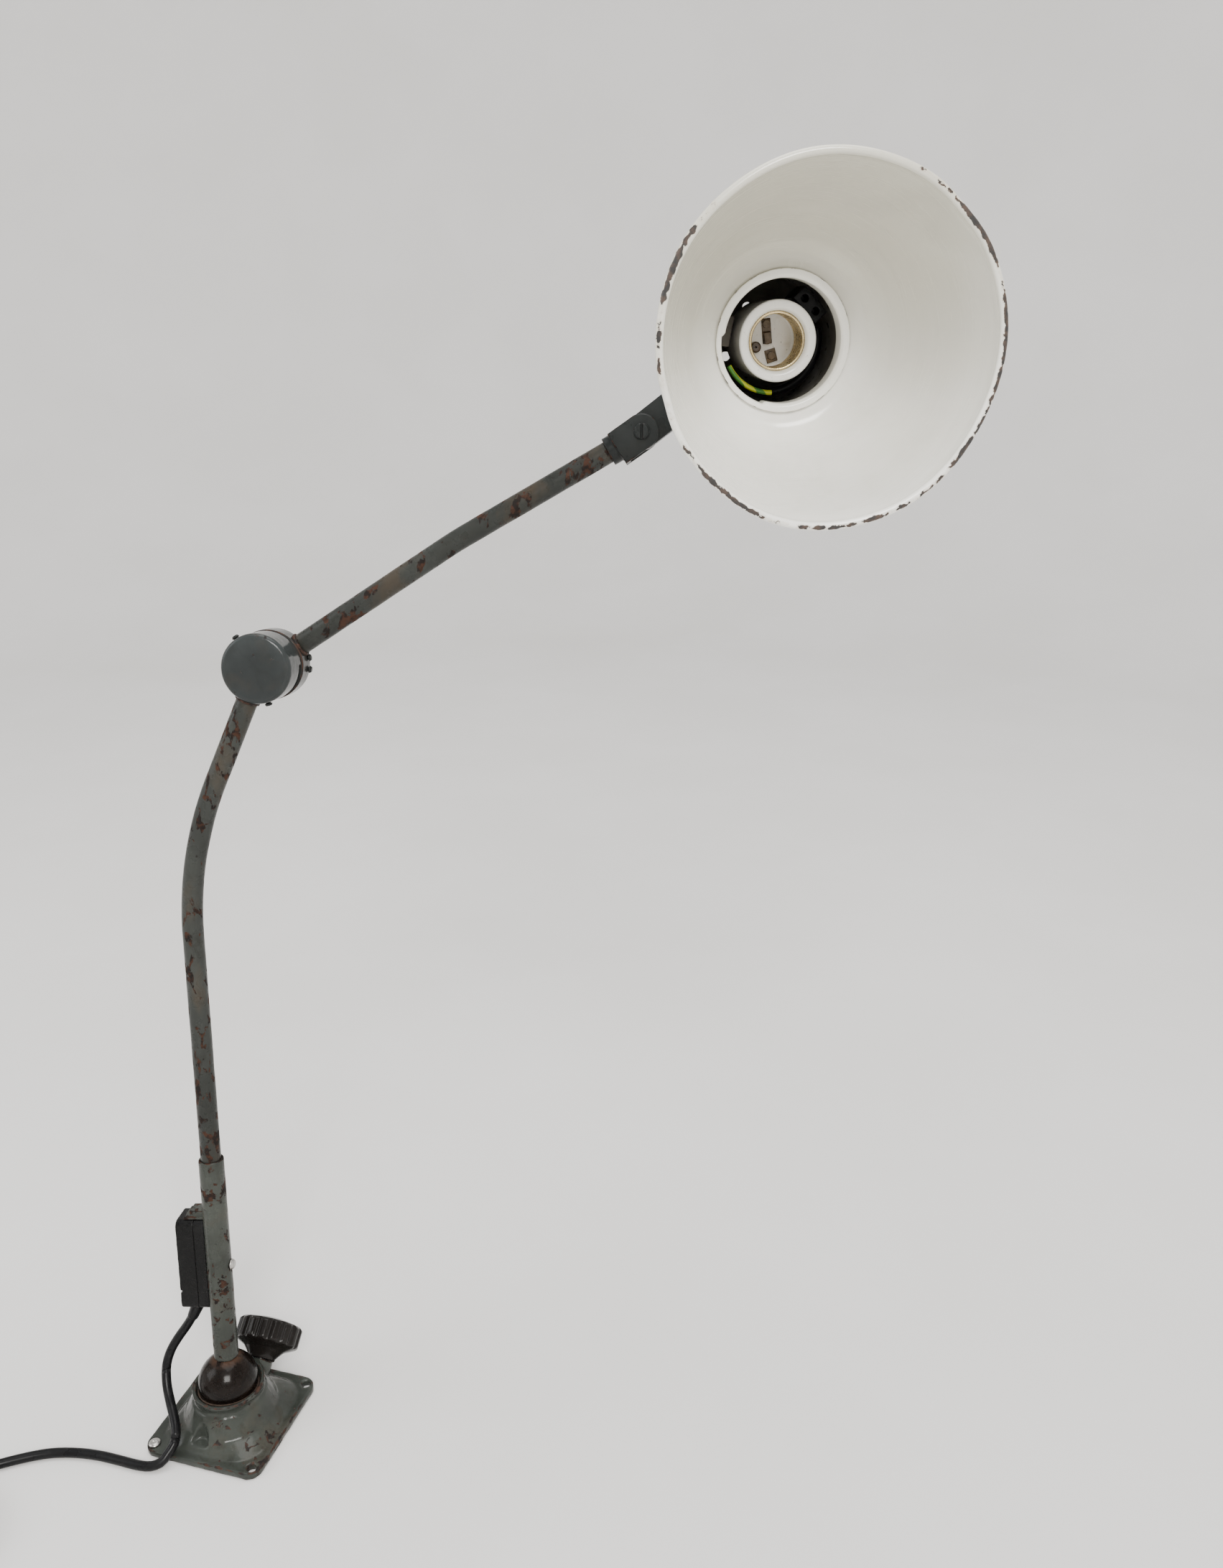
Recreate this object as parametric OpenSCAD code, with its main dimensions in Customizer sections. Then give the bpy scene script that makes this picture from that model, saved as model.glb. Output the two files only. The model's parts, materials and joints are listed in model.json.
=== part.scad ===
// Jointed workshop desk lamp with a screw-down base, a clamped ball joint,
// two bent tube arms and an enamelled shade. Millimetres and degrees, +Z up.
// The origin is the middle of the base's underside.

/* [Base] */
// Side of the square base plate
plate_side = 82; // [78:1:90]
// Thickness of the plate's flat corners
plate_t = 5; // [4:0.5:6]
// Distance between the mounting holes
hole_pitch = 70; // [66:1:72]
// Diameter of the mounting holes
hole_d = 5.6; // [4:0.2:6]
// Height of the ball's centre
ball_z = 33; // [32:0.5:35]
// Diameter of the ball
ball_d = 38; // [36:0.5:38]

/* [Pose at rest] */
// Turn of the arms about the vertical
arm_yaw = 13; // [0:1:20]
// Lean of the arms to the back
arm_back = 7.2; // [4:0.2:8]
// Lean of the sleeve along the arms, to the left when negative
side_lean = -0.7; // [-2:0.1:0]
// Slope of the upper arm above the horizontal
upper_el = 32.9; // [25:0.1:40]
// Slope of the head's tongue above the horizontal
tongue_el = 37.5; // [32:0.5:42]
// Turn of the head about its tongue
head_turn = 12.3; // [5:0.1:18]

/* [Lower arm] */
// Outer diameter of both arm tubes
tube_d = 12.5; // [12:0.1:12.7]
// Wall of both arm tubes
tube_wall = 1.2; // [1:0.1:1.4]
// Outer diameter of the sleeve at the foot
sleeve_d = 15.5; // [15.2:0.1:16]
// Top of the sleeve above the ball's centre
sleeve_top = 158; // [150:1:165]
// Height of the bend above the ball's centre
bend1_z = 355; // [340:1:370]
// Angle of the lower arm's bend
bend1 = 24.6; // [15:0.1:30]
// Radius of the lower arm's bend
bend1_r = 230; // [180:10:280]
// From the bend to the elbow's axis
bend1_to_elbow = 124; // [115:1:135]

/* [Elbow] */
// Diameter of the front drum
drum_d = 40.8; // [38:0.2:42]
// Diameter of the rear cup
cup_d = 41.6; // [39:0.2:43]
// Distance between the two arms' planes
arm_step = 23; // [22:0.5:24]

/* [Upper arm] */
// From the elbow to the upper arm's bend
elbow_to_bend2 = 133; // [120:1:145]
// Angle of the upper arm's bend
bend2 = 3.3; // [1:0.1:6]
// Radius of the upper arm's bend
bend2_r = 250; // [150:10:300]
// From the upper arm's bend to the fork's pivot
bend2_to_pivot = 124; // [115:1:135]
// Width of the fork and the tongue
fork_w = 19.4; // [17:0.2:21]

/* [Head] */
// From the fork's pivot to the shade's axis
head_reach = 83; // [80:1:88]
// Radius of the lamp housing
housing_r = 37; // [36.5:0.5:38]
// Radius of the shade at its rim
shade_r = 80; // [70:1:90]
// Distance of the shade's rim in front of the tongue
rim_z = 158; // [140:1:165]
// Outer radius of the porcelain lamp holder
holder_r = 20.6; // [19:0.2:21]

/* [Switch] */
// Height of the switch
switch_h = 62; // [56:1:66]
// Width of the switch
switch_w = 20; // [18:1:22]

/* [Cord] */
// Diameter of the mains cord
cord_d = 6; // [5:0.2:6.4]
// Mean radius of the coil of spare cord
coil_r = 36; // [30:1:40]

/* [Hidden] */
$fn = 64;

paint = [0.27, 0.28, 0.27];
base_paint = [0.33, 0.35, 0.32];
dark_paint = [0.19, 0.20, 0.20];
enamel = [0.90, 0.89, 0.85];
bakelite = [0.03, 0.03, 0.03];
steel = [0.55, 0.55, 0.54];
brass = [0.75, 0.63, 0.40];
ceramic = [0.93, 0.92, 0.90];
far = 60;
fit = 0.05;
ball_r = ball_d / 2;
cord_r = cord_d / 2;
tube_r = tube_d / 2;
bore_r = tube_r - tube_wall;
sleeve_r = sleeve_d / 2;
stem_r = 6.22;
bolt_r = 4;
pin_r = 3;
screw_r = 3;
stud_r = 6;

// ---- frames: each puts its children where that stage of the lamp stands ----

// The ball's centre, X along the arms, Y to the back, square to the arms' plane
module at_ball() {
    translate([0, 0, ball_z]) rotate([0, 0, arm_yaw]) rotate([-arm_back, 0, 0]) children();
}
// The same, Z along the sleeve
module at_sleeve() {
    at_ball() rotate([0, side_lean, 0]) children();
}
// The elbow, Z along the top of the lower arm
module at_elbow() {
    at_sleeve() translate([0, 0, bend1_z]) rotate([0, bend1, 0])
        translate([0, 0, bend1_to_elbow]) children();
}
// The elbow, Z along the foot of the upper arm, in the upper arm's plane
module at_upper() {
    at_elbow() rotate([0, 90 - upper_el - side_lean - bend1, 0])
        translate([0, arm_step, 0]) children();
}
// The fork's pivot, Z along the end of the upper arm
module at_pivot() {
    at_upper() translate([0, 0, elbow_to_bend2]) rotate([0, bend2, 0])
        translate([0, 0, bend2_to_pivot]) children();
}
// The fork's pivot, Z along the fork, which is set a little steeper than the tube
fork_set = -4.9;
module at_fork() {
    at_pivot() rotate([0, fork_set, 0]) children();
}
// The fork's pivot, Z along the tongue
module at_tongue() {
    at_pivot() rotate([0, upper_el - bend2 - tongue_el, 0]) children();
}
// The shade's axis beside the tongue, Z out of the shade, Y along the tongue
module at_head() {
    at_tongue() translate([0, 0, head_reach]) rotate([0, 0, head_turn])
        rotate([90, 0, 0]) children();
}
// Turns a shape drawn along Z to lie along Y
module along_y() {
    rotate([-90, 0, 0]) children();
}

// ---- shared shapes ----

module ring(r_out, r_in, h) {
    difference() {
        cylinder(r = r_out, h = h);
        translate([0, 0, -1]) cylinder(r = r_in, h = h + 2);
    }
}
module rounded_square(side, r, h) {
    s = side / 2 - r;
    linear_extrude(h) hull() for (x = [-s, s], y = [-s, s])
        translate([x, y]) circle(r, $fn = 32);
}
module hexagon(flats, h) {
    cylinder(r = flats / sqrt(3), h = h, $fn = 6);
}
// Points along a tube bent once towards +X: straight, an arc, straight
function bent_path(start, vertex, angle, bend_r, finish) =
    let (cut = bend_r * tan(angle / 2), steps = max(3, ceil(angle / 2)))
    concat([[0, 0, start]],
        [for (i = [0 : steps]) let (a = angle * i / steps)
            [bend_r * (1 - cos(a)), 0, vertex - cut + bend_r * sin(a)]],
        [[finish * sin(angle), 0, vertex + finish * cos(angle)]]);
function unit(v) = v / norm(v);
function tangent(p, i) = unit(p[min(i + 1, len(p) - 1)] - p[max(i - 1, 0)]);
function hoop(c, d, r, n, side) = let (a = unit(cross(d, side)), b = cross(d, a))
    [for (k = [0 : n - 1]) c + r * (cos(360 * k / n) * a + sin(360 * k / n) * b)];
// A round bar of radius r with n sides through the points p, which never run along side
module swept(p, r, n, side = [0, 0, 1]) {
    points = [for (i = [0 : len(p) - 1]) each hoop(p[i], tangent(p, i), r, n, side)];
    last = (len(p) - 1) * n;
    walls = [for (i = [0 : len(p) - 2], k = [0 : n - 1]) let (m = (k + 1) % n)
        [i * n + k, (i + 1) * n + k, (i + 1) * n + m, i * n + m]];
    polyhedron(points, concat(walls, [[for (k = [0 : n - 1]) k]],
        [[for (k = [n - 1 : -1 : 0]) last + k]]));
}
module bent_tube(start, vertex, angle, bend_r, finish) {
    difference() {
        swept(bent_path(start, vertex, angle, bend_r, finish), tube_r, 32, [0, 1, 0]);
        swept(bent_path(start - 1, vertex, angle, bend_r, finish + 1), bore_r, 24, [0, 1, 0]);
    }
}

// ---- base ----

seat_gap = 0.3;
collar_z = ball_z - 1.5;
collar_r = 22.2;
knob_az = 93;
knob_el = 36;
clamp_at = [6.8, 23, 21.4];
boss_r = 8.5;
boss_end = 5.8;
cotter_r = 5;
cotter_low = -15.5;
cotter_high = -4.3;

// The clamp screw's line, Z out towards the knob
module at_clamp() {
    translate(clamp_at) rotate([0, 90 - knob_el, knob_az]) children();
}

module base_casting() {
    color(base_paint) difference() {
        union() {
            rounded_square(plate_side, 9, plate_t);
            hull() {
                translate([0, 0, plate_t]) rounded_square(plate_side - 13, 17, 0.5);
                translate([0, 0, 11]) cylinder(r = 30, h = 0.5, $fn = 32);
            }
            hull() {
                translate([0, 0, 11]) cylinder(r = 30, h = 0.5, $fn = 32);
                translate([0, 0, 23]) cylinder(r = 23.6, h = 0.5, $fn = 32);
            }
            cylinder(r = collar_r, h = collar_z);
            translate([0, 0, collar_z - 2.5]) cylinder(r = collar_r + 0.9, h = 2.5);
            at_clamp() translate([0, 0, -20]) cylinder(r = boss_r, h = 20 + boss_end);
        }
        translate([0, 0, -1]) rounded_square(56, 8, 3.4);
        translate([0, 0, -1]) cylinder(r = 24, h = 7);
        translate([-4.5, -31, 8]) cylinder(r = 6, h = 20);
        translate([0, 0, 9.5]) cylinder(r = 9.05, h = 8);
        for (x = [-1, 1], y = [-1, 1]) translate([x, y, 0] * hole_pitch / 2)
            translate([0, 0, -1]) cylinder(d = hole_d, h = plate_t + 12);
        translate([0, 0, ball_z]) sphere(r = liner_r + seat_gap);
        translate([0, 0, ball_z - 4]) cylinder(r = ball_r + 1.4, h = 20);
        at_clamp() translate([0, 0, cotter_low - 1.3])
            cylinder(r = cotter_r + 0.1, h = 1.3 + cotter_high - cotter_low + 0.5);
        at_clamp() translate([0, 0, -12]) cylinder(r = screw_r + 0.3, h = 20);
    }
}
// Fibre ring in the bottom of the seat, under the liner
module seat_ring() {
    color([0.45, 0.25, 0.15]) difference() {
        translate([0, 0, 9.6]) cylinder(r = 9, h = 6);
        translate([0, 0, 7]) cylinder(r = 4, h = 10);
        translate([0, 0, ball_z]) sphere(r = liner_r + seat_gap);
    }
}
// Scalloped block that the screw draws along the side of the ball
module clamp_cotter() {
    color(steel) difference() {
        at_clamp() translate([0, 0, cotter_low])
            cylinder(r = cotter_r, h = cotter_high - cotter_low);
        translate([0, 0, ball_z]) sphere(r = liner_r + 0.1);
        at_clamp() translate([0, 0, -30]) cylinder(r = screw_r + fit, h = 30);
    }
}
module clamp_stud() {
    color(steel) at_clamp() translate([0, 0, -14]) cylinder(r = screw_r, h = 27.5);
}
// Fluted knob on a trumpet-shaped neck
knob_r = 22;
knob_flutes = 16;
module clamp_knob() {
    color(bakelite) at_clamp() difference() {
        rotate_extrude() polygon([[3.05, boss_end + 0.3], [9.2, boss_end + 0.3], [9.6, 8],
            [11.2, 10], [14, 13], [19, 15.2], [knob_r - 1, 16.2], [knob_r, 17.5], [knob_r, 28],
            [knob_r - 1.6, 29.6], [12, 31.5], [0, 32], [0, 13.55], [3.05, 13.55]]);
        for (i = [0 : knob_flutes - 1]) rotate([0, 0, i * 360 / knob_flutes])
            translate([knob_r + 1.2, 0, 15]) cylinder(r = 2.6, h = 20);
    }
}

// ---- ball joint ----

liner_r = ball_r + 1;
liner_low = -14.5;
liner_high = -4.5;
// Band of friction lining that hugs the ball below its middle
module friction_liner() {
    color([0.30, 0.22, 0.16]) at_ball() difference() {
        intersection() {
            sphere(r = liner_r);
            translate([0, 0, liner_low]) cylinder(r = 30, h = liner_high - liner_low);
        }
        sphere(r = ball_r + 0.1);
    }
}
module ball() {
    color([0.10, 0.07, 0.06]) at_sleeve() difference() {
        union() {
            sphere(r = ball_r);
            cylinder(r = stem_r, h = 46);
        }
        translate([0, 0, -ball_r - 0.01]) cylinder(r = 30, h = 2);
    }
}

// ---- lower arm ----

tube_start = 98;
hole_z = 91;
screw_z = 84;
cable_r = 2.4;
module sleeve() {
    color(paint) at_sleeve() difference() {
        union() {
            translate([0, 0, 18]) cylinder(r = sleeve_r, h = sleeve_top - 18.6);
            translate([0, 0, sleeve_top - 0.6])
                cylinder(r1 = sleeve_r, r2 = sleeve_r - 0.6, h = 0.6);
        }
        translate([0, 0, 10]) cylinder(r = tube_r + fit, h = 160);
        translate([0, 0, screw_z]) rotate([0, 90, 0]) cylinder(r = 2.1, h = 20);
        translate([0, 0, screw_z]) rotate([0, -90, 0]) cylinder(r = 2.1, h = 20);
        translate([0, 0, hole_z]) rotate([0, -90, 0]) cylinder(r = 3, h = 20);
    }
}
module lower_tube() {
    color(paint) difference() {
        at_sleeve() bent_tube(tube_start, bend1_z, bend1, bend1_r, bend1_to_elbow - 17);
        at_elbow() along_y() translate([0, 0, -20]) cylinder(d = drum_d + 0.1, h = 40);
    }
}
// Cable from the switch up through the lower arm into the drum
module lower_cable() {
    way_in = [[-sleeve_r, 0, hole_z], [-4, 0, hole_z], [-1.2, 0, hole_z + 2]];
    color(bakelite) at_sleeve() swept(concat(way_in,
        bent_path(hole_z + 6, bend1_z, bend1, bend1_r, bend1_to_elbow - 13)),
        cable_r, 12, [0, 1, 0]);
}

// ---- elbow: everything lies along the hinge, Y ----

drum_front = -10;
drum_back = 12.4;
cup_front = 15;
cup_back = 32;
wall = 2;
module cup_shape(r, h, round) {
    rotate_extrude() polygon(concat([[0, 0]],
        [for (a = [-90 : 15 : 0]) [r - round + round * cos(a), round + round * sin(a)]],
        [[r, h], [r - wall, h], [r - wall, wall], [0, wall]]));
}
module elbow_drum() {
    color(paint) at_elbow() difference() {
        union() {
            along_y() translate([0, 0, drum_front])
                cup_shape(drum_d / 2, drum_back - drum_front, 3);
            along_y() translate([0, 0, drum_front + wall]) cylinder(r = 7.5, h = 11);
        }
        along_y() translate([0, 0, drum_front + wall + 2]) cylinder(r = bolt_r + fit, h = 30);
        translate([0, 0, -far]) cylinder(r = 3.4, h = far - 10);
        rotate([0, 95, 0]) translate([-10, drum_back - 4, 10]) cube([20, 8, 20]);
    }
}
// Plate inside the drum that the friction washer turns against
plate_y = 8.6;
module drum_plate() {
    color(steel) at_elbow() difference() {
        along_y() translate([0, 0, plate_y]) ring(drum_d / 2 - wall - fit, bolt_r + fit, 2.4);
        rotate([0, 95, 0]) translate([-9, 0, 9.5]) cube([18, 30, 20]);
    }
}
module radial_screw(length) {
    cylinder(r = 1.6, h = length);
    translate([0, 0, length]) cylinder(r1 = 2.4, r2 = 1.7, h = 1.4);
}
module drum_screws() {
    color(steel) at_elbow() for (a = [-58, 142]) rotate([0, a, 0])
        translate([0, -4, drum_d / 2 + 0.1]) radial_screw(0.5);
}
module elbow_bolt() {
    color(steel) at_elbow() along_y() translate([0, 0, -6]) cylinder(r = bolt_r, h = 32);
}
module elbow_washer() {
    color([0.35, 0.25, 0.18]) at_elbow() along_y() translate([0, 0, plate_y + 2.5])
        ring(14, bolt_r + fit, 1.7);
}
module elbow_hub() {
    color([0.24, 0.16, 0.11]) at_elbow() along_y() translate([0, 0, plate_y + 4.3])
        ring(14.5, bolt_r + fit, 5);
}
module elbow_spring() {
    color(steel) at_elbow() along_y() translate([0, 0, plate_y + 9.4])
        ring(7.5, bolt_r + fit, 1.6);
}
module elbow_nut() {
    color(steel) at_elbow() along_y() translate([0, 0, plate_y + 11.1]) difference() {
        hexagon(13, 6);
        translate([0, 0, -1]) cylinder(r = bolt_r + fit, h = 10);
    }
}
// The rear cup carries the upper arm, with an inner flange against the hub
module elbow_cup() {
    color(paint) at_elbow() difference() {
        union() {
            along_y() translate([0, 0, cup_back]) mirror([0, 0, 1])
                cup_shape(cup_d / 2, cup_back - cup_front, 2.4);
            along_y() translate([0, 0, cup_front]) ring(cup_d / 2 - 0.5, 14.5 + fit, 2.2);
        }
        rotate([0, 90 - upper_el - side_lean - bend1, 0]) translate([0, arm_step, 10])
            cylinder(r = 3.4, h = 20);
    }
}
module cup_screws() {
    color(steel) at_elbow() for (a = [57, 76, 215]) rotate([0, a, 0])
        translate([0, arm_step + 4, cup_d / 2 + 0.1]) radial_screw(0.5);
}

// ---- upper arm ----

module upper_tube() {
    color(paint) difference() {
        at_upper() bent_tube(16, elbow_to_bend2, bend2, bend2_r, bend2_to_pivot - 17.6);
        at_elbow() along_y() translate([0, 0, 10]) cylinder(d = cup_d + 0.1, h = 40);
    }
}
module upper_cable() {
    color(bakelite) at_upper()
        swept(bent_path(15, elbow_to_bend2, bend2, bend2_r, bend2_to_pivot - 15),
            cable_r, 12, [0, 1, 0]);
}

ear_in = 7.3;
ear_out = 10;
web_z = -17;
module fork_ear() {
    along_y() {
        cylinder(r = fork_w / 2, h = ear_out - ear_in);
        translate([-fork_w / 2, 0, 0]) cube([fork_w, -web_z, ear_out - ear_in]);
    }
}
module clevis_fork() {
    color(dark_paint) difference() {
        union() {
            at_fork() translate([0, ear_in, 0]) fork_ear();
            at_fork() translate([0, -ear_out, 0]) fork_ear();
            at_fork() translate([-fork_w / 2, -ear_out, web_z]) cube([fork_w, 2 * ear_out, 3]);
            at_pivot() translate([0, 0, web_z - 5]) cylinder(r = 8.2, h = 6);
        }
        at_pivot() translate([0, 0, web_z - 6]) cylinder(r = tube_r + fit, h = 5.5);
        at_pivot() translate([0, 0, web_z - 1]) cylinder(r = 3.2, h = 8);
        at_fork() along_y() translate([0, 0, -20]) cylinder(r = pin_r + fit, h = 40);
    }
}
module fork_washers() {
    color([0.35, 0.25, 0.18]) at_fork() for (y = [-ear_in + 0.05, 5.15])
        translate([0, y, 0]) along_y() ring(9, pin_r + fit, 2.1);
}
module fork_screw() {
    color(dark_paint) at_fork() along_y() difference() {
        union() {
            translate([0, 0, -ear_out]) cylinder(r = pin_r, h = 26);
            translate([0, 0, -ear_out - 2.8]) cylinder(r1 = 3.6, r2 = 4.4, h = 1);
            translate([0, 0, -ear_out - 1.8]) cylinder(r = 4.4, h = 1.8);
        }
        rotate([0, 0, 35]) translate([-5, -0.6, -ear_out - 3]) cube([10, 1.2, 1.7]);
    }
}
module fork_nut() {
    color(dark_paint) at_fork() along_y() translate([0, 0, ear_out + 0.05]) difference() {
        hexagon(10, 5);
        translate([0, 0, -1]) cylinder(r = pin_r + fit, h = 10);
    }
}

// ---- tongue and swivel ----

tongue_t = 10;
neck_z = 32;
shoulder_z = 40.9;
module tongue() {
    color(dark_paint) at_tongue() difference() {
        union() {
            translate([0, -tongue_t / 2, 0]) along_y() cylinder(r = fork_w / 2, h = tongue_t);
            translate([-fork_w / 2, -tongue_t / 2, 0]) cube([fork_w, tongue_t, neck_z]);
            translate([0, 0, neck_z - 0.5]) cylinder(r = 8.5, h = shoulder_z - neck_z + 0.5);
            translate([0, 0, shoulder_z - 1]) cylinder(r = stud_r, h = 17);
        }
        along_y() translate([0, 0, -20]) cylinder(r = pin_r + fit, h = 40);
        translate([0, 0, 12]) cylinder(r = 3, h = far);
    }
}
module swivel_washer() {
    color(steel) at_tongue() translate([0, 0, shoulder_z + fit])
        ring(9.4, stud_r + fit, 0.9);
}
module swivel_spring() {
    color(steel) at_tongue() translate([0, 0, head_reach - 34.4])
        ring(8, stud_r + fit, 1.2);
}
module swivel_nut() {
    color(steel) at_tongue() translate([0, 0, head_reach - 33]) difference() {
        hexagon(16, 5.4);
        translate([0, 0, -1]) cylinder(r = stud_r + fit, h = 10);
    }
}

// ---- head ----

housing_back = -34;
housing_front = 54.5;
housing_wall = 1.6;
neck_r = 33.2;
holder_front = 45;
holder_back = 2;
holder_bore = 15;
nipple_r = 5;
module housing_outline(r, back, front) {
    polygon(concat([[0, back]],
        [for (a = [-90 : 10 : 0]) [r - 14 + 14 * cos(a), back + 14 + 14 * sin(a)]],
        [[r, front], [0, front]]));
}
module lamp_housing() {
    color(paint) at_head() difference() {
        union() {
            rotate_extrude() housing_outline(housing_r, housing_back, housing_front);
            rotate([90, 0, 0]) cylinder(r = 10.5, h = 41);
        }
        rotate_extrude() housing_outline(housing_r - housing_wall,
            housing_back + housing_wall, housing_front - 9);
        translate([0, 0, housing_front - 10]) cylinder(r = neck_r, h = 20);
        rotate([90, 0, 0]) cylinder(r = stud_r + 0.1, h = far);
        translate([0, 0, housing_back - 5]) cylinder(r = nipple_r + fit, h = 12);
        for (a = [30 : 60 : 330]) rotate([0, 0, a]) translate([17, 0, housing_back - 1])
            cylinder(r = 2.5, h = 8);
    }
}
shade_neck = 38;
shade_back = housing_front + 0.9;
shade_wall = 1.2;
bead_r = 1.9;
sweep = 50;
steps = 20;
// Middle of the shade's wall, from u = 0 at the neck to u = 1 at the rim
function shade_point(u) = [
    shade_neck + (shade_r - bead_r - shade_neck) * sin(u * sweep) / sin(sweep),
    shade_back + (rim_z - bead_r - shade_back) * (1 - cos(u * sweep)) / (1 - cos(sweep))];
function shade_normal(u) = let (d = unit(shade_point(u + 0.01) - shade_point(u - 0.01)))
    [-d[1], d[0]];
module shade() {
    color(enamel) at_head() rotate_extrude($fn = 96) union() {
        polygon(concat(
            [for (i = [0 : steps]) shade_point(i / steps)
                - shade_normal(i / steps) * shade_wall / 2],
            [for (i = [steps : -1 : 0]) shade_point(i / steps)
                + shade_normal(i / steps) * shade_wall / 2]));
        translate([neck_r + 0.1, shade_back - 0.6])
            square([shade_neck - neck_r + 0.6, shade_wall]);
        translate([shade_r - bead_r, rim_z - bead_r]) circle(bead_r, $fn = 24);
    }
}
ring_in = 30.5;
module neck_ring() {
    color(enamel) at_head() difference() {
        union() {
            translate([0, 0, shade_back + 0.7]) cylinder(r = 35, h = 2);
            translate([0, 0, housing_front - 8]) cylinder(r = neck_r - 0.1, h = 9.8);
        }
        translate([0, 0, housing_front - 9]) cylinder(r = ring_in, h = 20);
        translate([0, 0, shade_back + 1.5]) cylinder(r1 = ring_in, r2 = ring_in + 1.5, h = 1.3);
        rotate([0, 0, 268]) translate([ring_in - 2, -8, housing_front - 9]) cube([3.6, 16, 6]);
    }
}
module lamp_holder() {
    color(ceramic) at_head() difference() {
        union() {
            translate([0, 0, holder_back + 2]) cylinder(r = holder_r,
                h = holder_front - holder_back - 3.5);
            translate([0, 0, holder_front - 1.5])
                cylinder(r1 = holder_r, r2 = holder_r - 1.2, h = 1.5);
            translate([0, 0, holder_back]) cylinder(r = holder_r - 2, h = 3);
        }
        translate([0, 0, 17]) cylinder(r = holder_bore, h = far);
        translate([0, 0, holder_front - 2]) cylinder(r1 = holder_bore, r2 = 16.6, h = 2.1);
        translate([0, 0, holder_back - 1]) cylinder(r = nipple_r + fit, h = 6);
    }
}
shell_in = 13.3;
module brass_shell() {
    color(brass) at_head() {
        translate([0, 0, 22]) ring(14.2, shell_in, 19);
        translate([0, 0, 40.9]) ring(holder_bore - 0.1, shell_in, 1.1);
    }
}
module contacts() {
    color(brass) at_head() {
        rotate([0, 0, 60]) translate([-2.5, -2, 17.05]) cube([5, 13, 0.8]);
        rotate([0, 0, 60]) translate([-2, -2, 17.8]) cube([4, 6, 2.2]);
        rotate([0, 0, 250]) translate([-3, 5, 17.05]) cube([6, 7, 0.8]);
    }
}
module contact_screws() {
    color(steel) at_head() for (a = [[150, 8.2], [340, 8.5]])
        rotate([0, 0, a[0]]) translate([a[1], 0, 17.9]) cylinder(r = 2.2, h = 1.6);
}
module holder_nipple() {
    color(steel) at_head() translate([0, 0, housing_back - 7])
        ring(nipple_r, 3.4, 7 - housing_back + holder_back + 4.9);
}
module nipple_nut() {
    color(steel) at_head() for (z = [housing_back - 4.05, housing_back + housing_wall + 0.05])
        translate([0, 0, z]) difference() {
            hexagon(14, 4);
            translate([0, 0, -1]) cylinder(r = nipple_r + fit, h = 8);
        }
}
module terminal_block() {
    color(bakelite) at_head() rotate([0, 0, 7]) difference() {
        translate([-9, 21.4, 14]) cube([18, 8.6, 22]);
        for (x = [-4.4, 4.4]) translate([x, 25.7, 26]) cylinder(r = 1.9, h = 12);
        for (x = [-4.4, 4.4], z = [18, 31]) translate([x, 20, z]) rotate([-90, 0, 0])
            cylinder(r = 1.4, h = 4);
    }
}
// Tab inside the housing with the earth screw
module earth_plate() {
    color(paint) at_head() rotate([0, 0, 222]) difference() {
        union() {
            translate([21.6, -8, 24]) cube([10.6, 16, 1.6]);
            translate([21.6, -8, -6]) cube([1.6, 16, 31]);
        }
        translate([27, 0, 20]) cylinder(r = 1.6, h = 10);
    }
}
module head_wire(r, ring_r, from, sweep_angle, z) {
    rotate([0, 0, from]) translate([0, 0, z])
        rotate_extrude(angle = sweep_angle) translate([ring_r, 0]) circle(r);
}
module earth_wire() {
    color([0.45, 0.65, 0.10]) at_head() head_wire(1.3, 26.6, 262, 62, 32);
}
module head_cable() {
    color(bakelite) at_head() head_wire(cable_r, 26.8, -72, 138, 22);
}

// ---- switch on the sleeve ----

switch_low = 53;
switch_left = -25.5;
switch_right = -sleeve_r - 0.3;
switch_mid = 6.5;
exit_x = switch_right - 9.5;
exit_r = 4.1;
exit_tilt = 25;
base_t = 6;
module switch_block(x0, x1, w, low, high, r) {
    translate([x0, switch_mid, 0]) rotate([0, 90, 0]) linear_extrude(x1 - x0) hull()
        for (z = [low + r, high - r], y = [r - w / 2, w / 2 - r])
            translate([-z, y]) circle(r, $fn = 24);
}
module sleeve_cut(gap) {
    translate([0, 0, 30]) cylinder(r = sleeve_r + gap, h = 110);
}
module switch_base() {
    color(bakelite) at_sleeve() difference() {
        switch_block(switch_right - base_t, switch_right + 4, switch_w,
            switch_low, switch_low + switch_h, 4);
        sleeve_cut(fit);
        translate([-30, 0, hole_z]) rotate([0, 90, 0]) cylinder(r = 3, h = 40);
        translate([-30, 0, screw_z]) rotate([0, 90, 0]) cylinder(r = 2.05, h = 40);
        translate([exit_x, switch_mid, switch_low - 1]) cylinder(r = exit_r + fit, h = 8.1);
    }
}
module switch_cover() {
    color(bakelite) at_sleeve() difference() {
        switch_block(switch_left, switch_right - base_t - fit, switch_w,
            switch_low, switch_low + switch_h, 4);
        switch_block(switch_left + 2, switch_right - base_t + 1,
            switch_w - 4, switch_low + 5, switch_low + switch_h - 3, 3);
        translate([switch_left - 1, switch_mid - rocker_w / 2 - 0.4,
            rocker_z - rocker_h / 2 - rocker_gap])
            cube([4, rocker_w + 0.8, rocker_h + 2 * rocker_gap]);
        translate([exit_x, switch_mid, switch_low - 1]) cylinder(r = exit_r + fit, h = 8.1);
        translate([switch_left - 0.1, switch_mid - 12, switch_low + 12]) cube([1.4, 24, 1.6]);
    }
}
rocker_w = 9.8;
rocker_h = 20.6;
rocker_gap = 1;
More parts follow.
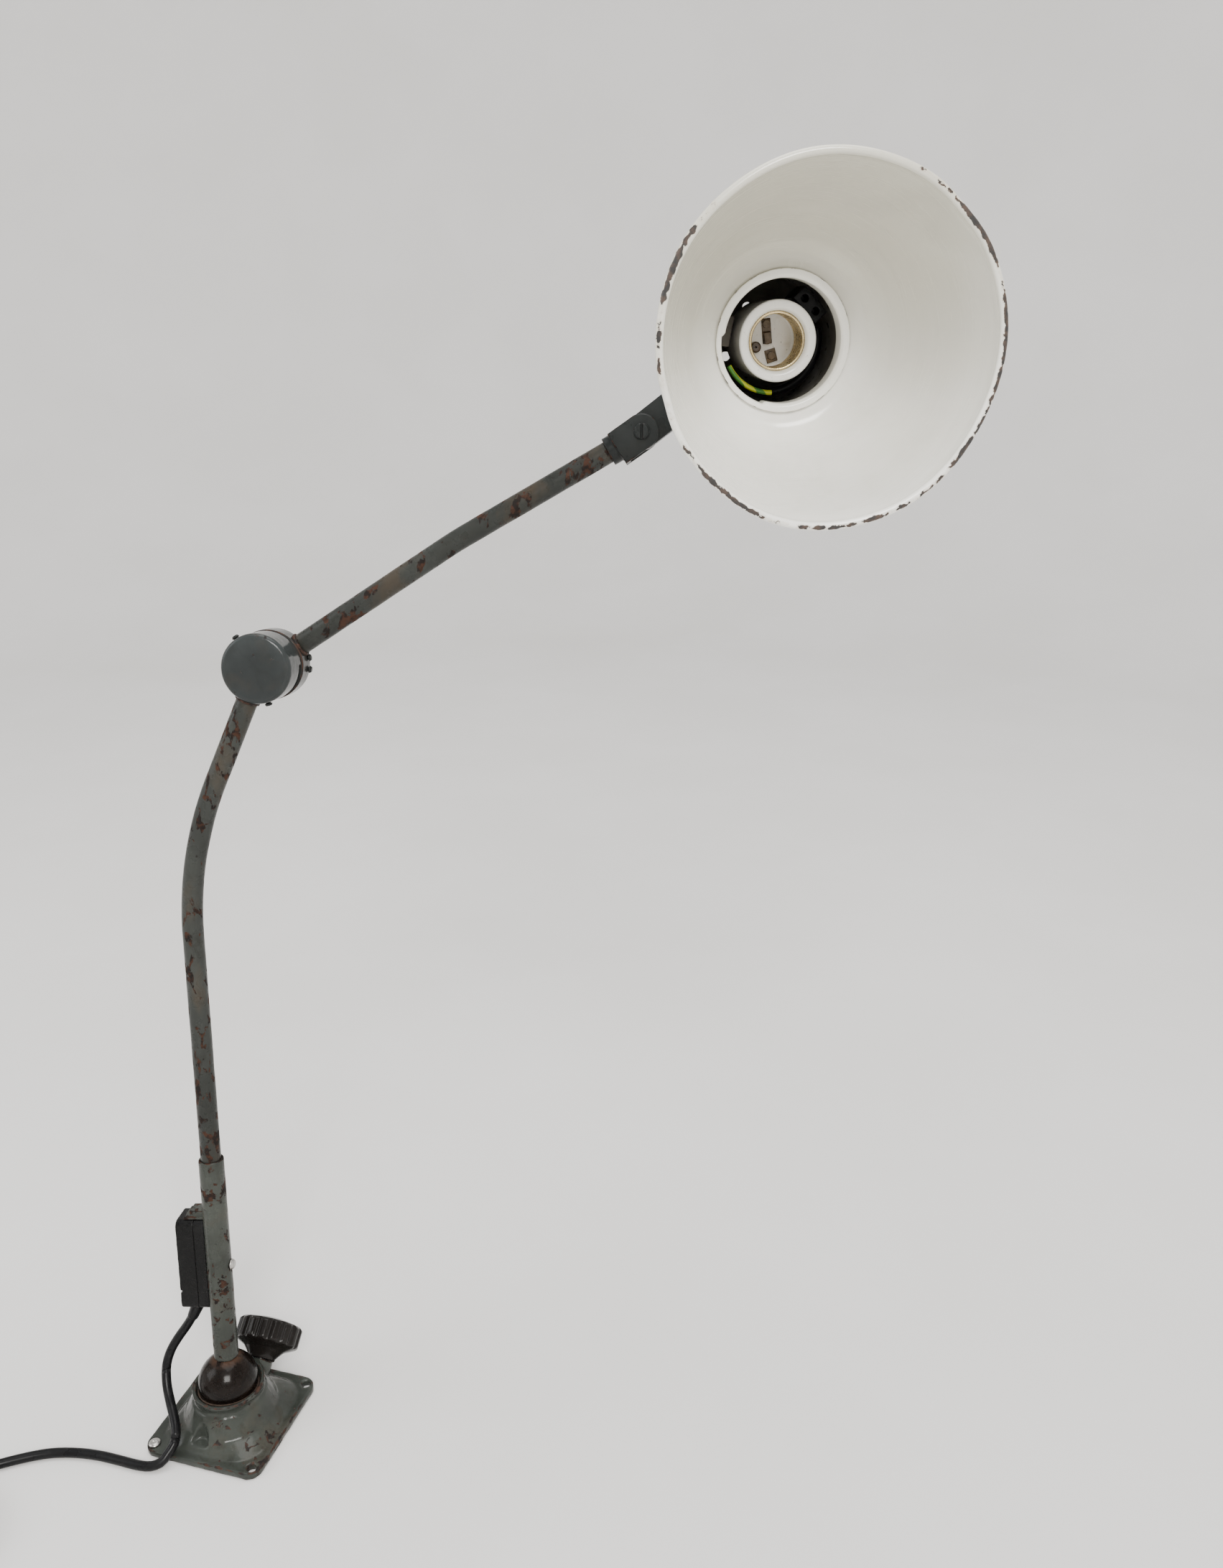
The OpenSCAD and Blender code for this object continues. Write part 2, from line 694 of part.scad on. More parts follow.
rocker_x = switch_left + 4.2;
rocker_z = switch_low + 31.3;
module switch_rocker() {
    color([0.06, 0.06, 0.06]) at_sleeve()
        translate([rocker_x, switch_mid - rocker_w / 2, rocker_z - rocker_h / 2])
            translate([-5.1, 0, 0]) cube([6.1, rocker_w, rocker_h]);
}
module switch_bracket() {
    color(paint) at_sleeve() difference() {
        union() {
            translate([switch_left + 5, switch_mid - 7, switch_low + switch_h + 0.05])
                cube([18, 14, 2]);
            translate([switch_left + 8, switch_mid - 5, switch_low + switch_h + 2])
                cube([12, 10, 3]);
        }
        sleeve_cut(fit);
    }
}
// Screw through the sleeve that holds the switch
module switch_screw() {
    color(steel) at_sleeve() translate([0, 0, screw_z]) rotate([0, 90, 0]) {
        translate([0, 0, switch_right - 5]) cylinder(r = 2, h = -switch_right + sleeve_r + 5.2);
        translate([0, 0, sleeve_r + 0.1]) cylinder(r1 = 3.6, r2 = 2.4, h = 2.2);
    }
}
// Tapered strain relief that grips the cord where it leaves the switch
module cord_grommet() {
    color(bakelite) at_sleeve() translate([exit_x, switch_mid, switch_low]) {
        cylinder(r = exit_r, h = 7);
        intersection() {
            rotate([0, 180 + exit_tilt, 0]) translate([0, 0, -4])
                cylinder(r1 = 4.8, r2 = cord_r + 0.5, h = 17);
            translate([0, 0, -30]) cylinder(r = 20, h = 30);
        }
    }
}

// ---- free cord: hand-placed route points, on the surface that the base stands on ----

hanging_route = [[-24.5, 6.5, 75], [-30, 5, 65.5], [-35.5, 2, 57], [-39.5, -2, 49],
    [-40.5, -7, 41], [-37.5, -13, 32.5], [-32, -19, 25.5], [-25.5, -25.5, 20],
    [-20.5, -31.5, 15.5], [-18.5, -37, 11.5], [-20, -42, 8.2]];
floor_route = [[-20.2, -42.7, 7.8], [-22, -46.5, 5.3], [-28, -49.8, 3.5], [-37, -50.8, 3],
    [-50, -50.8, 3], [-64, -51, 3], [-80, -53, 3], [-97, -58, 3], [-113, -67, 3],
    [-129, -78.5, 3], [-144, -91, 3], [-158, -102.5, 3.9]];
tail_route = [[-134, -94, 9.9], [-146, -94, 9.9], [-156, -95, 8.8], [-166, -97, 6],
    [-178, -101, 5], [-189, -107.5, 8], [-196, -116.5, 13], [-199.5, -127, 17.5],
    [-200, -138, 19]];
coil_at = [-132, -136, 0];
coil_half_w = 9;
coil_low = 0.9;
coil_high = 13.2;
plug_at = [-200, -158, 19];
plug_r = 18.9;
pin_gap = 19;

module cord_hanging() {
    color(bakelite) swept(hanging_route, cord_r, 10);
}
module cord_floor() {
    color(bakelite) swept(floor_route, cord_r, 10);
}
module cord_tail() {
    color(bakelite) swept(tail_route, cord_r, 10);
}
module cord_coil() {
    color(bakelite) translate(coil_at) rotate_extrude()
        translate([coil_r - coil_half_w, coil_low]) square([2 * coil_half_w, coil_high - coil_low]);
}
// Flat tie round the coil's turns
module coil_tie() {
    color([0.1, 0.1, 0.1]) translate(coil_at) rotate([0, 0, 215]) difference() {
        translate([coil_r - coil_half_w - 1.2, -3.5, 0])
            cube([2 * coil_half_w + 2.2, 7, coil_high + 0.9]);
        translate([coil_r - coil_half_w - 0.4, -4, coil_low - 0.05])
            cube([2 * coil_half_w + 0.6, 8, coil_high - coil_low + 0.1]);
    }
}
// The plug lies on its side, Z along its pins
module at_plug() {
    translate(plug_at) rotate([90, 0, 0]) children();
}
module plug_body() {
    color(bakelite) at_plug() difference() {
        rotate_extrude() polygon([[0, -27], [cord_r + 0.6, -27], [7, -1], [11, 1], [13, 14],
            [17, 17], [plug_r, 19], [plug_r, 36], [plug_r - 1, 37], [0, 37]]);
        for (x = [-1, 1]) translate([x * pin_gap / 2, 0, 30]) cylinder(r = 2.45, h = 10);
        for (a = [90, 270]) rotate([0, 0, a]) translate([plug_r - 2, -3.5, 22])
            cube([5, 7, 20]);
    }
}
module plug_pins() {
    color(brass) at_plug() for (x = [-1, 1]) translate([x * pin_gap / 2, 0, 30.1]) {
        cylinder(r = 2.4, h = 24);
        translate([0, 0, 24]) cylinder(r1 = 2.4, r2 = 1.4, h = 1.9);
    }
}

base_casting();
seat_ring();
clamp_cotter();
clamp_stud();
clamp_knob();
friction_liner();
ball();
sleeve();
lower_tube();
lower_cable();
elbow_drum();
drum_plate();
drum_screws();
elbow_bolt();
elbow_nut();
elbow_spring();
switch_bracket();
switch_base();
switch_cover();
switch_screw();
cord_grommet();
switch_rocker();
elbow_washer();
elbow_hub();
elbow_cup();
cup_screws();
upper_tube();
upper_cable();
clevis_fork();
fork_washers();
fork_screw();
fork_nut();
tongue();
swivel_washer();
swivel_spring();
swivel_nut();
lamp_housing();
shade();
neck_ring();
lamp_holder();
brass_shell();
contacts();
contact_screws();
holder_nipple();
nipple_nut();
terminal_block();
earth_plate();
earth_wire();
head_cable();
cord_hanging();
cord_floor();
cord_coil();
cord_tail();
coil_tie();
plug_body();
plug_pins();
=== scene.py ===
"""Looks for a jointed workshop desk lamp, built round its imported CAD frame. Metres, +Z up."""

import math

import bmesh
import bpy
from mathutils import Matrix, Vector, noise
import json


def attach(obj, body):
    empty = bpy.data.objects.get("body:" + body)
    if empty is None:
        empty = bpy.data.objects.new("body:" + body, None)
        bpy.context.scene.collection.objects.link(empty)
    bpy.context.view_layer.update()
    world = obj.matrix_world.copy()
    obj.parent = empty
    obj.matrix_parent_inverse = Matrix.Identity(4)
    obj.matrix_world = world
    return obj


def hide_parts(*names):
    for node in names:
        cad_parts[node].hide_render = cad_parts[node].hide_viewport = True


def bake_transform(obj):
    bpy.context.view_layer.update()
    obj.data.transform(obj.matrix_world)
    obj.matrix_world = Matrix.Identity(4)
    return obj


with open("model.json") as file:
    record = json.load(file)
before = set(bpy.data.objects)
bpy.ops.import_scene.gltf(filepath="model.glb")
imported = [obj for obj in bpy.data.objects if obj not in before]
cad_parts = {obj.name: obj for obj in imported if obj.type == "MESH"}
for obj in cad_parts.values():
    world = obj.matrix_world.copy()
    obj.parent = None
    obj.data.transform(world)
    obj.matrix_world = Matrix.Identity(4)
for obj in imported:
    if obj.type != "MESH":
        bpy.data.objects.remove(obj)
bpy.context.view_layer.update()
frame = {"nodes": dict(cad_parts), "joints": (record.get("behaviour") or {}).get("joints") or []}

MM = 0.001
NODES = frame["nodes"]
JOINTS = {j["name"]: j for j in frame["joints"]}
scene = bpy.context.scene


# ---- where things are: the same stages as in the CAD model ----

ARM_YAW, ARM_BACK, SIDE_LEAN = 13, 7.2, -0.7
BEND1, BEND1_Z, BEND1_R, BEND1_TO_ELBOW = 24.6, 355, 230, 124
UPPER_EL, BEND2, BEND2_R, ELBOW_TO_BEND2, BEND2_TO_PIVOT = 32.9, 3.3, 250, 133, 124
TONGUE_EL, HEAD_TURN, HEAD_REACH = 37.5, 12.3, 83
ARM_STEP = 23
TUBE_R = 6.25 * MM
CORD_D = 6 * MM


def turn(axis, degrees):
    return Matrix.Rotation(math.radians(degrees), 4, axis)


def shift(x, y, z):
    return Matrix.Translation(Vector((x, y, z)) * MM)


AT_BALL = Matrix.Translation(Vector(JOINTS["arm_spin"]["pos_m"])) @ turn("Z", ARM_YAW) @ turn("X", -ARM_BACK)
AT_SLEEVE = AT_BALL @ turn("Y", SIDE_LEAN)
AT_ELBOW = AT_SLEEVE @ shift(0, 0, BEND1_Z) @ turn("Y", BEND1) @ shift(0, 0, BEND1_TO_ELBOW)
AT_UPPER = AT_ELBOW @ turn("Y", 90 - UPPER_EL - SIDE_LEAN - BEND1) @ shift(0, ARM_STEP, 0)
AT_PIVOT = AT_UPPER @ shift(0, 0, ELBOW_TO_BEND2) @ turn("Y", BEND2) @ shift(0, 0, BEND2_TO_PIVOT)
AT_TONGUE = AT_PIVOT @ turn("Y", UPPER_EL - BEND2 - TONGUE_EL)
AT_HEAD = AT_TONGUE @ shift(0, 0, HEAD_REACH) @ turn("Z", HEAD_TURN) @ turn("X", 90)


# ---- camera and light ----

def make_camera():
    data = bpy.data.cameras.new("camera")
    data.sensor_width = 36
    data.lens = 28.02
    data.clip_start = 0.02
    camera = bpy.data.objects.new("camera", data)
    scene.collection.objects.link(camera)
    camera.location = (0.4092, -0.5464, 0.660)
    camera.rotation_mode = "QUATERNION"
    camera.rotation_quaternion = Vector((-0.2484, 0.9143, -0.3200)).to_track_quat("-Z", "Y")
    scene.camera = camera


def area_light(name, place, target, size, power, colour=(1, 1, 1)):
    data = bpy.data.lights.new(name, "AREA")
    data.shape = "RECTANGLE"
    data.size, data.size_y = size
    data.energy = power
    data.color = colour
    light = bpy.data.objects.new(name, data)
    scene.collection.objects.link(light)
    light.location = place
    light.rotation_mode = "QUATERNION"
    light.rotation_quaternion = (Vector(target) - Vector(place)).to_track_quat("-Z", "Y")


def make_lights():
    area_light("window", (1.3, -2.2, 2.5), (0.15, 0.1, 0.4), (1.3, 1.3), 130, (1, 0.985, 0.955))
    area_light("fill", (-2.2, -1.2, 1.7), (0.1, 0.1, 0.4), (1.4, 1.8), 30, (0.95, 0.975, 1))
    area_light("ceiling", (0.2, 0.4, 3.2), (0.1, 0.1, 0.3), (2.2, 2.2), 66, (1, 0.99, 0.97))
    world = bpy.data.worlds.new("studio")
    world.use_nodes = True
    background = world.node_tree.nodes["Background"]
    background.inputs["Color"].default_value = (0.93, 0.93, 0.94, 1)
    background.inputs["Strength"].default_value = 0.74
    scene.world = world


# ---- node materials ----

class Nodes:
    """A short way to write a node tree: each method adds a node and returns its output."""

    def __init__(self, name, metallic=0.0, roughness=0.5, **sockets):
        self.material = bpy.data.materials.new(name)
        self.material.use_nodes = True
        self.tree = self.material.node_tree
        self.shader = self.tree.nodes["Principled BSDF"]
        self.set("Metallic", metallic)
        self.set("Roughness", roughness)
        for socket, value in sockets.items():
            self.set(socket.replace("_", " "), value)

    def set(self, socket, value):
        if isinstance(value, bpy.types.NodeSocket):
            self.tree.links.new(value, self.shader.inputs[socket])
        else:
            self.shader.inputs[socket].default_value = value

    def add(self, kind, inputs=None, output=0, **settings):
        node = self.tree.nodes.new(kind)
        for key, value in settings.items():
            setattr(node, key, value)
        for key, value in (inputs or {}).items():
            if isinstance(value, bpy.types.NodeSocket):
                self.tree.links.new(value, node.inputs[key])
            else:
                node.inputs[key].default_value = value
        return node.outputs[output]

    def place(self):
        return self.add("ShaderNodeTexCoord", output="Object")

    def stretched(self, scale):
        return self.add("ShaderNodeVectorMath", {0: self.place(), 1: scale}, operation="MULTIPLY")

    def noise(self, scale, detail=4.0, rough=0.55, warp=0.0, at=None):
        return self.add("ShaderNodeTexNoise", {"Vector": at or self.place(), "Scale": scale,
            "Detail": detail, "Roughness": rough, "Distortion": warp})

    def ramp(self, value, low, high, from_value=0.0, to_value=1.0):
        return self.add("ShaderNodeMapRange", {"Value": value, "From Min": low, "From Max": high,
            "To Min": from_value, "To Max": to_value}, interpolation_type="SMOOTHSTEP")

    def maths(self, operation, a, b=0.0):
        return self.add("ShaderNodeMath", {0: a, 1: b}, operation=operation)

    def blend(self, amount, a, b):
        mix = self.tree.nodes.new("ShaderNodeMix")
        mix.data_type = "RGBA"
        for key, value in ((0, amount), (6, a), (7, b)):
            if isinstance(value, bpy.types.NodeSocket):
                self.tree.links.new(value, mix.inputs[key])
            else:
                mix.inputs[key].default_value = value if key == 0 else (*value, 1)
        return mix.outputs[2]

    def attribute(self, name):
        return self.add("ShaderNodeAttribute", output="Fac", attribute_name=name)

    def edges(self, low, high):
        return self.ramp(self.add("ShaderNodeNewGeometry", output="Pointiness"), low, high)

    def bump(self, height, strength, distance=0.0004):
        self.set("Normal", self.add("ShaderNodeBump", {"Height": height, "Strength": strength,
            "Distance": distance}))


def worn_paint(name, colour, chips=0.5, rust=0.4, dirt=0.4, gloss=0.35, edge=0.0, along=None, sheen=0.14):
    """Old paint over iron: mottled, dirty, with dark chips and brown rust round them."""
    n = Nodes(name, roughness=gloss, Specular_IOR_Level=sheen)
    place = n.stretched(along) if along else n.place()
    mottle = n.noise(22, 5, at=place)
    light = tuple(c * 1.22 for c in colour)
    dark = tuple(c * 0.72 for c in colour)
    body = n.blend(n.ramp(mottle, 0.35, 0.68), dark, light)
    grime = n.ramp(n.noise(70, 6, 0.65, 0.6), 0.5, 0.72, 0, dirt)
    body = n.blend(grime, body, (colour[0] * 0.42, colour[1] * 0.36, colour[2] * 0.3))
    stain = n.maths("MULTIPLY", n.ramp(n.noise(38, 4, at=place), 0.52, 0.7), rust)
    body = n.blend(stain, body, (0.060, 0.040, 0.023))
    field = n.maths("ADD", n.maths("MULTIPLY", n.noise(190, 5, 0.6, 0.3, place), 0.62),
        n.maths("MULTIPLY", n.noise(34, 3, at=place), 0.38))
    if edge:
        field = n.maths("ADD", field, n.maths("MULTIPLY", n.edges(0.505, 0.56), edge))
    limit = 0.655 - 0.13 * chips
    chip = n.ramp(field, limit, limit + 0.018)
    bare = n.blend(n.ramp(n.noise(260, 4), 0.42, 0.62), (0.009, 0.0065, 0.0055), (0.040, 0.018, 0.011))
    n.set("Base Color", n.blend(chip, body, bare))
    shine = n.ramp(n.noise(120, 5), 0.3, 0.7, gloss * 0.75, gloss * 1.35)
    n.set("Roughness", n.maths("ADD", shine, n.maths("MULTIPLY", chip, 0.4)))
    height = n.maths("SUBTRACT", n.maths("MULTIPLY", n.noise(420, 4), 0.35), chip)
    n.bump(height, 0.55, 0.00035)
    return n.material


def enamel(name, shade_amount=0.9, streaks=True, chips=1.0):
    """White enamel with faint spun streaks and painted shade, which blends it towards a darker, warmer white
    by a per-vertex attribute. It is chipped to dark iron where the chip attribute is high.
    """
    n = Nodes(name, roughness=0.24, Coat_Weight=0.35, Coat_Roughness=0.12)
    lit_white, shaded_white = (0.92, 0.91, 0.86), (0.58, 0.56, 0.47)
    # Painted shade: the white is blended towards a darker, warmer white by the attribute read here.
    body = n.blend(n.ramp(n.attribute("painted_shade"), 0.0, 1.0, 0.0, shade_amount), lit_white, shaded_white)
    haze = n.ramp(n.noise(14, 5, 0.6, 0.8), 0.42, 0.75, 0.0, 0.30)
    body = n.blend(haze, body, (0.62, 0.60, 0.53))
    spun = n.noise(1.0, 6, 0.7, at=n.add("ShaderNodeCombineXYZ", {"X": n.maths("MULTIPLY",
        n.attribute("along"), 46.0), "Y": n.maths("MULTIPLY", n.attribute("swing"), 1.6)}))
    if streaks:
        body = n.blend(n.ramp(spun, 0.5, 0.8, 0.0, 0.28), body, (0.60, 0.59, 0.52))
    speck = n.ramp(n.noise(520, 3, 0.7), 0.70, 0.74)
    speck = n.maths("MULTIPLY", speck, n.ramp(n.noise(60, 3), 0.5, 0.62, 0.0, 0.5))
    body = n.blend(speck, body, (0.2, 0.17, 0.13))
    field = n.maths("ADD", n.maths("MULTIPLY", n.noise(210, 5, 0.62, 0.2), 0.5),
        n.maths("MULTIPLY", n.attribute("chip"), 0.5 * chips))
    stain = n.ramp(field, 0.50, 0.60, 0.0, 0.5)
    body = n.blend(stain, body, (0.52, 0.47, 0.38))
    chip = n.ramp(field, 0.585, 0.60)
    bare = n.blend(n.ramp(n.noise(300, 4), 0.4, 0.65), (0.012, 0.010, 0.009), (0.055, 0.032, 0.021))
    n.set("Base Color", n.blend(chip, body, bare))
    n.set("Roughness", n.maths("ADD", n.ramp(spun, 0.3, 0.8, 0.2, 0.32), n.maths("MULTIPLY", chip, 0.45)))
    height = n.maths("SUBTRACT", n.maths("MULTIPLY", n.noise(90, 3), 0.5), n.maths("MULTIPLY", chip, 1.2))
    n.bump(height, 0.3, 0.00035)
    return n.material


def moulded(name, colour, gloss=0.18, grain=0.12, dust=0.12, coat=0.4):
    """Black or coloured moulded plastic with fine scratches, dust and a soft polish."""
    n = Nodes(name, roughness=gloss, Coat_Weight=coat, Coat_Roughness=0.1, Specular_IOR_Level=0.12)
    dusty = n.ramp(n.noise(80, 6, 0.65), 0.48, 0.8, 0.0, dust)
    pale = tuple(min(1, c * 1.5 + 0.05) for c in colour)
    body = n.blend(n.ramp(n.noise(24, 4), 0.35, 0.7), tuple(c * 0.75 for c in colour), colour)
    n.set("Base Color", n.blend(dusty, body, pale))
    scratches = n.noise(600, 4, 0.7, 1.2)
    n.set("Roughness", n.ramp(scratches, 0.3, 0.75, gloss * 0.7, gloss * 1.9))
    n.bump(scratches, grain, 0.0002)
    return n.material


def bare_metal(name, colour, gloss=0.35, tarnish=(0.16, 0.11, 0.07), wear=0.5):
    """Plated or bare metal with tarnish and fine tooling marks."""
    n = Nodes(name, metallic=1.0, roughness=gloss)
    patches = n.ramp(n.noise(110, 6, 0.6, 0.4), 0.45, 0.75, 0.0, wear)
    body = n.blend(n.ramp(n.noise(35, 4), 0.35, 0.7), tuple(c * 0.8 for c in colour), colour)
    n.set("Base Color", n.blend(patches, body, tarnish))
    marks = n.noise(700, 4, 0.6)
    n.set("Roughness", n.ramp(marks, 0.3, 0.75, gloss * 0.75, gloss * 1.5))
    n.bump(marks, 0.2, 0.00015)
    return n.material


def dark_iron(name):
    """The ball: browned iron, worn glossy, with rust at the tube's root."""
    n = Nodes(name, roughness=0.2, Coat_Weight=0.1, Coat_Roughness=0.08, Specular_IOR_Level=0.10)
    worn, browned = (0.003, 0.0022, 0.0018), (0.011, 0.007, 0.005)
    body = n.blend(n.ramp(n.noise(40, 5, 0.6, 0.5), 0.35, 0.7), worn, browned)
    root = n.ramp(n.attribute("rise"), 0.0, 1.0)
    rusty = n.maths("MULTIPLY", root, n.ramp(n.noise(230, 5, 0.65), 0.38, 0.55))
    n.set("Base Color", n.blend(rusty, body, (0.050, 0.027, 0.017)))
    n.set("Roughness", n.maths("ADD", n.ramp(n.noise(160, 5), 0.3, 0.75, 0.14, 0.4),
        n.maths("MULTIPLY", rusty, 0.5)))
    n.bump(n.noise(300, 4), 0.25, 0.0003)
    return n.material


def rubber(name, colour=(0.006, 0.006, 0.0065), gloss=0.3):
    """Flexible cord: smooth PVC with a faint scuffed sheen."""
    n = Nodes(name, roughness=gloss, Specular_IOR_Level=0.15)
    scuff = n.ramp(n.noise(150, 5, 0.65), 0.5, 0.78, 0.0, 0.35)
    n.set("Base Color", n.blend(scuff, colour, (0.024, 0.024, 0.024)))
    n.set("Roughness", n.ramp(n.noise(90, 4), 0.3, 0.7, gloss * 0.8, gloss * 1.4))
    n.bump(n.noise(500, 3), 0.1, 0.0002)
    return n.material


def striped_wire(name):
    """Green insulation with a yellow stripe that winds round it."""
    n = Nodes(name, roughness=0.35)
    wave = n.add("ShaderNodeTexWave", {"Vector": n.place(), "Scale": 48.0, "Distortion": 1.5,
        "Detail": 1.0}, output="Fac", wave_type="BANDS", bands_direction="DIAGONAL")
    n.set("Base Color", n.blend(n.ramp(wave, 0.42, 0.58), (0.07, 0.24, 0.03), (0.62, 0.66, 0.03)))
    n.bump(n.noise(400, 3), 0.1, 0.0002)
    return n.material


def fibre(name, colour=(0.10, 0.055, 0.03)):
    """Pressed fibre or rusted friction faces."""
    n = Nodes(name, roughness=0.75)
    speckle = n.noise(320, 6, 0.7)
    n.set("Base Color", n.blend(n.ramp(speckle, 0.35, 0.65), tuple(c * 0.45 for c in colour), colour))
    n.bump(speckle, 0.5, 0.0004)
    return n.material


def porcelain(name):
    n = Nodes(name, roughness=0.12, Coat_Weight=0.5, Coat_Roughness=0.05)
    grime = n.ramp(n.noise(130, 6, 0.65, 0.5), 0.5, 0.75, 0.0, 0.35)
    body = n.blend(grime, (0.86, 0.85, 0.81), (0.58, 0.53, 0.44))
    n.set("Base Color", n.blend(n.ramp(n.noise(420, 3), 0.68, 0.72, 0.0, 0.7), body, (0.12, 0.10, 0.08)))
    n.set("Roughness", n.ramp(n.noise(60, 4), 0.3, 0.7, 0.1, 0.22))
    n.bump(n.noise(160, 3), 0.08, 0.0003)
    return n.material


# ---- mesh building ----

def new_object(name, mesh, material, body, smooth=True):
    piece = bpy.data.objects.new(name, mesh)
    scene.collection.objects.link(piece)
    for polygon in mesh.polygons:
        polygon.use_smooth = smooth
    mesh.materials.clear()
    mesh.materials.append(material)
    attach(piece, body)
    return piece


def mesh_from(bm, name):
    bmesh.ops.recalc_face_normals(bm, faces=bm.faces[:])
    mesh = bpy.data.meshes.new(name)
    bm.to_mesh(mesh)
    bm.free()
    return mesh


def apply_modifiers(piece):
    depsgraph = bpy.context.evaluated_depsgraph_get()
    mesh = bpy.data.meshes.new_from_object(piece.evaluated_get(depsgraph))
    piece.modifiers.clear()
    old, piece.data = piece.data, mesh
    bpy.data.meshes.remove(old)


def softened(name, node, material, body, voxel=0.6, smooth=4, cast=0.0, cast_size=6.0, extra=()):
    """Stands for CAD nodes whose shape is right: the same solids with worn, rounded edges."""
    bm = bmesh.new()
    for source in (node, *extra):
        bm.from_mesh(NODES[source].data)
    bmesh.ops.remove_doubles(bm, verts=bm.verts[:], dist=2e-6)
    mesh = bpy.data.meshes.new(name)
    bm.to_mesh(mesh)
    bm.free()
    piece = new_object(name, mesh, material, body)
    remesh = piece.modifiers.new("remesh", "REMESH")
    remesh.mode = "VOXEL"
    remesh.voxel_size = voxel * MM
    remesh.use_smooth_shade = True
    relax = piece.modifiers.new("relax", "SMOOTH")
    relax.factor = 0.5
    relax.iterations = smooth
    apply_modifiers(piece)
    if cast:
        spots = []
        for normal, vertex in zip([n.vector.copy() for n in piece.data.vertex_normals], piece.data.vertices):
            at = vertex.co / (cast_size * MM)
            spots.extend(vertex.co + normal * (noise.noise(at) + 0.5 * noise.noise(at * 2.3)) * cast * MM)
        piece.data.vertices.foreach_set("co", spots)
        piece.data.update()
    piece.data.materials.clear()
    piece.data.materials.append(material)
    for polygon in piece.data.polygons:
        polygon.use_smooth = True
    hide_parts(node, *extra)
    return piece


def lathe(name, outline, at, material, body, steps=192, shape=None, marks=None):
    """A closed outline of (radius, z) in mm turned about at's Z.

    shape moves each point, and marks gives its attributes.
    """
    bm = bmesh.new()
    rings = []
    for i in range(steps):
        angle = 2 * math.pi * i / steps
        row = []
        for j, (r, z) in enumerate(outline):
            radius, height = shape(r, z, angle, j) if shape else (r, z)
            spot = Vector((radius * math.cos(angle), radius * math.sin(angle), height)) * MM
            row.append(bm.verts.new(at @ spot))
        rings.append(row)
    count = len(outline)
    for i in range(steps):
        for j in range(count):
            a, b = rings[i], rings[(i + 1) % steps]
            k = (j + 1) % count
            bm.faces.new((a[j], b[j], b[k], a[k]))
    mesh = mesh_from(bm, name)
    if marks:
        values = {}
        for i in range(steps):
            for j, (r, z) in enumerate(outline):
                for key, value in marks(r, z, 2 * math.pi * i / steps, j).items():
                    values.setdefault(key, []).append(value)
        for key, data in values.items():
            mesh.attributes.new(key, "FLOAT", "POINT").data.foreach_set("value", data)
    return new_object(name, mesh, material, body)


def rounded(outline, radius, corners=4):
    """Rounds each corner of a closed outline of (r, z) points with a small arc."""
    out = []
    count = len(outline)
    for i, point in enumerate(outline):
        here = Vector(point)
        back, ahead = Vector(outline[i - 1]) - here, Vector(outline[(i + 1) % count]) - here
        cut = min(radius, back.length * 0.45, ahead.length * 0.45)
        a, b = here + back.normalized() * cut, here + ahead.normalized() * cut
        for k in range(corners + 1):
            t = k / corners
            out.append(tuple(a * (1 - t) ** 2 + here * 2 * t * (1 - t) + b * t ** 2))
    return out


def bent_path(start, vertex, angle, radius, finish):
    """Points in metres, from sizes in mm, along a tube bent once towards +X."""
    cut = radius * math.tan(math.radians(angle / 2))
    arc = [(radius * (1 - math.cos(a)), 0, vertex - cut + radius * math.sin(a))
        for a in (math.radians(angle * i / 16) for i in range(17))]
    top = math.radians(angle)
    low = [(0, 0, start + (vertex - cut - start) * i / 24) for i in range(24)]
    end = Vector((finish * math.sin(top), 0, vertex + finish * math.cos(top)))
    high = [tuple(Vector(arc[-1]).lerp(end, i / 16)) for i in range(1, 17)]
    return [Vector(p) * MM for p in low + arc + high]


def sweep(name, points, radius, sides=16, wobble=0.0):
    """A round bar through points, in metres, with closed ends. Its rings don't twist."""
    bm = bmesh.new()
    rings = []
    across = Vector((0, 1, 0))
    for i, point in enumerate(points):
        along = (points[min(i + 1, len(points) - 1)] - points[max(i - 1, 0)]).normalized()
        if i == 0 and abs(along.dot(across)) > 0.9:
            across = Vector((1, 0, 0))
        across = (across - along * across.dot(along)).normalized()
        other = along.cross(across)
        ring = []
        for k in range(sides):
            a = 2 * math.pi * k / sides
            out = across * math.cos(a) + other * math.sin(a)
            r = radius + wobble * noise.noise((point + out * radius) * 90)
            ring.append(bm.verts.new(point + out * r))
        rings.append(ring)
    for a, b in zip(rings, rings[1:]):
        for k in range(sides):
            m = (k + 1) % sides
            bm.faces.new((a[k], a[m], b[m], b[k]))
    bm.faces.new(rings[0][::-1])
    bm.faces.new(rings[-1])
    return mesh_from(bm, name)


def tube(name, at, path, material, body, node):
    points = [at @ p for p in path]
    piece = new_object(name, sweep(name, points, TUBE_R, 40, 0.00008), material, body)
    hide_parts(node)
    return piece


